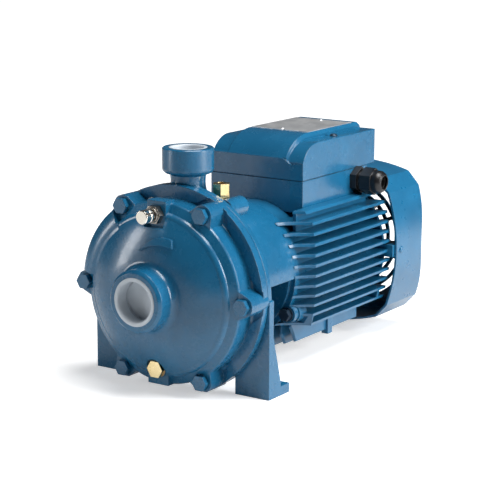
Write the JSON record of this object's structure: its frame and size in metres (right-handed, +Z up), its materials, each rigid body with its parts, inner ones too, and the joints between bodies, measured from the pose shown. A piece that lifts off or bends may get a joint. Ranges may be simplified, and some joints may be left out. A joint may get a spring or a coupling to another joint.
{
  "type": "centrifugal water pump",
  "caption": "Close-coupled centrifugal water pump: round bolted casing with front suction and top discharge ports, finned motor, terminal box and fan cover.",
  "frame": {"origin": "on the base plane, midway between the two foot bolt holes", "axes": "+Y along the shaft from the suction port to the fan, +X right seen from the suction side, +Z up along the discharge"},
  "size_m": [0.191, 0.3721, 0.2135],
  "materials": {
    "casting": "glossy mid-blue enamel over cast iron",
    "casting_screws": "mid-blue enamel over steel",
    "frame_alloy": "mid-blue enamel over cast alloy",
    "box_alloy": "smooth mid-blue enamel over cast alloy",
    "fan_cover": "smooth mid-blue enamel over pressed steel",
    "rubber": "matt black",
    "brass": "plain machined",
    "fibre": "matt fibre",
    "nickel": "dull nickel",
    "bright_nickel": "polished nickel over brass",
    "bolt_black": "dark oxide",
    "white_plastic": "satin",
    "grey_plastic": "satin",
    "black_plastic": "satin",
    "plate": "satin",
    "lamination": "bare stacked sheet",
    "copper": "varnished wire",
    "steel": "bright zinc",
    "bearing_steel": "ground",
    "seal_ceramic": "lapped ceramic",
    "stage_iron": "bare casting"
  },
  "bodies": {
    "pump": {"front_casing": "casting", "rear_casing": "casting", "casing_screws": "casting_screws", "motor_frame": "frame_alloy", "rear_shield": "frame_alloy", "terminal_box_base": "box_alloy", "terminal_box_lid": "box_alloy", "fan_cover": "fan_cover", "casing_o_ring": "rubber", "box_gasket": "rubber", "gland_seal": "rubber", "drain_washer": "fibre", "priming_washer": "fibre", "gland_body": "black_plastic", "gland_nut": "black_plastic", "gland_back_nut": "black_plastic", "terminal_block": "black_plastic", "capacitor": "white_plastic", "data_plate": "plate", "plate_rivets": "plate", "stator_core": "lamination", "stator_windings": "copper", "motor_bolts": "bolt_black", "lid_screws": "bolt_black", "fan_cover_screws": "casting_screws", "shield_screws": "steel", "wave_washer": "steel", "front_outer_race": "bearing_steel", "rear_outer_race": "bearing_steel", "seal_seat": "seal_ceramic", "stage_plate": "stage_iron"},
    "rotor": {"shaft": "steel", "first_impeller": "brass", "second_impeller": "brass", "impeller_key": "steel", "impeller_spacer": "steel", "impeller_washer": "steel", "impeller_nut": "steel", "water_slinger": "rubber", "seal_head": "steel", "seal_spring": "steel", "rotor_core": "lamination", "front_inner_race": "bearing_steel", "rear_inner_race": "bearing_steel", "cooling_fan": "black_plastic"},
    "front_cage": {"front_balls_and_cage": "bearing_steel"},
    "rear_cage": {"rear_balls_and_cage": "bearing_steel"},
    "vent": {"vent_plug": "nickel", "vent_cap": "bright_nickel"},
    "drain": {"drain_plug": "brass"},
    "priming": {"priming_plug": "brass"},
    "suction_cap": {"suction_disc": "grey_plastic"},
    "discharge_cap": {"discharge_disc": "grey_plastic"}
  },
  "joints": [
    {"name": "rotor_spin", "type": "hinge", "parent": "pump", "child": "rotor", "pos_m": [0, 0, 0.0884], "axis": [0, 1, 0], "continuous": true},
    {"name": "front_cage_spin", "type": "hinge", "parent": "pump", "child": "front_cage", "pos_m": [0, 0, 0.0884], "axis": [0, 1, 0], "continuous": true},
    {"name": "rear_cage_spin", "type": "hinge", "parent": "pump", "child": "rear_cage", "pos_m": [0, 0, 0.0884], "axis": [0, 1, 0], "continuous": true},
    {"name": "vent_plug_out", "type": "slide", "parent": "pump", "child": "vent", "axis": [0, -1, 0], "range_m": [0, 0.02]},
    {"name": "drain_plug_out", "type": "slide", "parent": "pump", "child": "drain", "axis": [0, -1, 0], "range_m": [0, 0.02]},
    {"name": "priming_plug_out", "type": "slide", "parent": "pump", "child": "priming", "axis": [0, 0, 1], "range_m": [0, 0.022]},
    {"name": "suction_disc_out", "type": "slide", "parent": "pump", "child": "suction_cap", "axis": [0, -1, 0], "range_m": [0, 0.03]},
    {"name": "discharge_disc_out", "type": "slide", "parent": "pump", "child": "discharge_cap", "axis": [0, 0, 1], "range_m": [0, 0.03]}
  ],
  "couplings": [
    {"joint": "front_cage_spin", "follows": "rotor_spin", "ratio": 0.379},
    {"joint": "rear_cage_spin", "follows": "rotor_spin", "ratio": 0.38}
  ]
}
